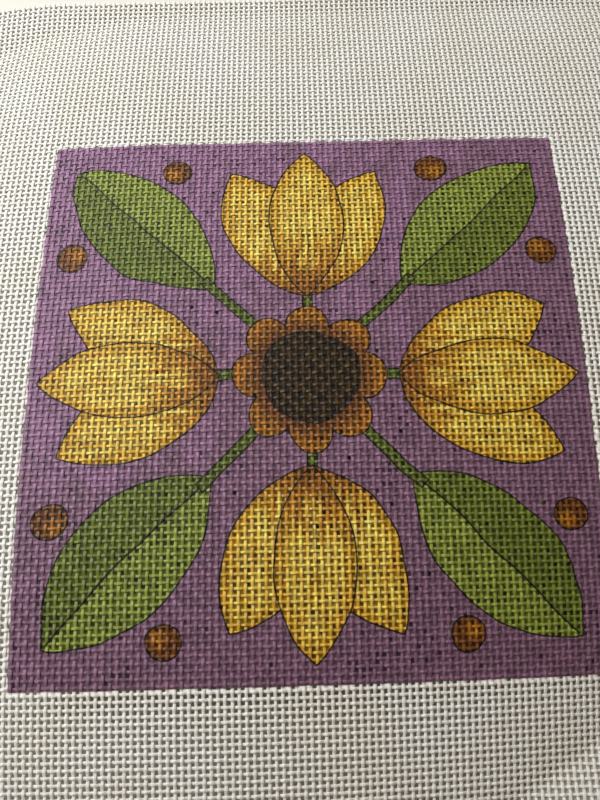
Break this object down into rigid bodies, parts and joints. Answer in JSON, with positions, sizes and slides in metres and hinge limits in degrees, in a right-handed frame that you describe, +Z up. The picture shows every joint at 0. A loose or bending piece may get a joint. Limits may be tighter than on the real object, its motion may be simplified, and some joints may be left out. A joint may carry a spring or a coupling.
{
  "type": "needlepoint canvas panel",
  "caption": "Square of open plain-weave cotton mono canvas with raw cut edges and a painted square in the middle, lying loose in a low arch.",
  "frame": {"origin": "on the surface that the cloth lies on, under the middle of its bounding box", "axes": "+X along the weft to the right edge, +Y along the warp to the far edge, +Z up from the surface"},
  "size_m": [0.2248, 0.232, 0.016],
  "materials": {
    "canvas_cotton": "matt, sized white cotton threads, with matt acrylic paint on the middle square"
  },
  "bodies": {
    "root": {"canvas": "canvas_cotton"}
  },
  "joints": []
}
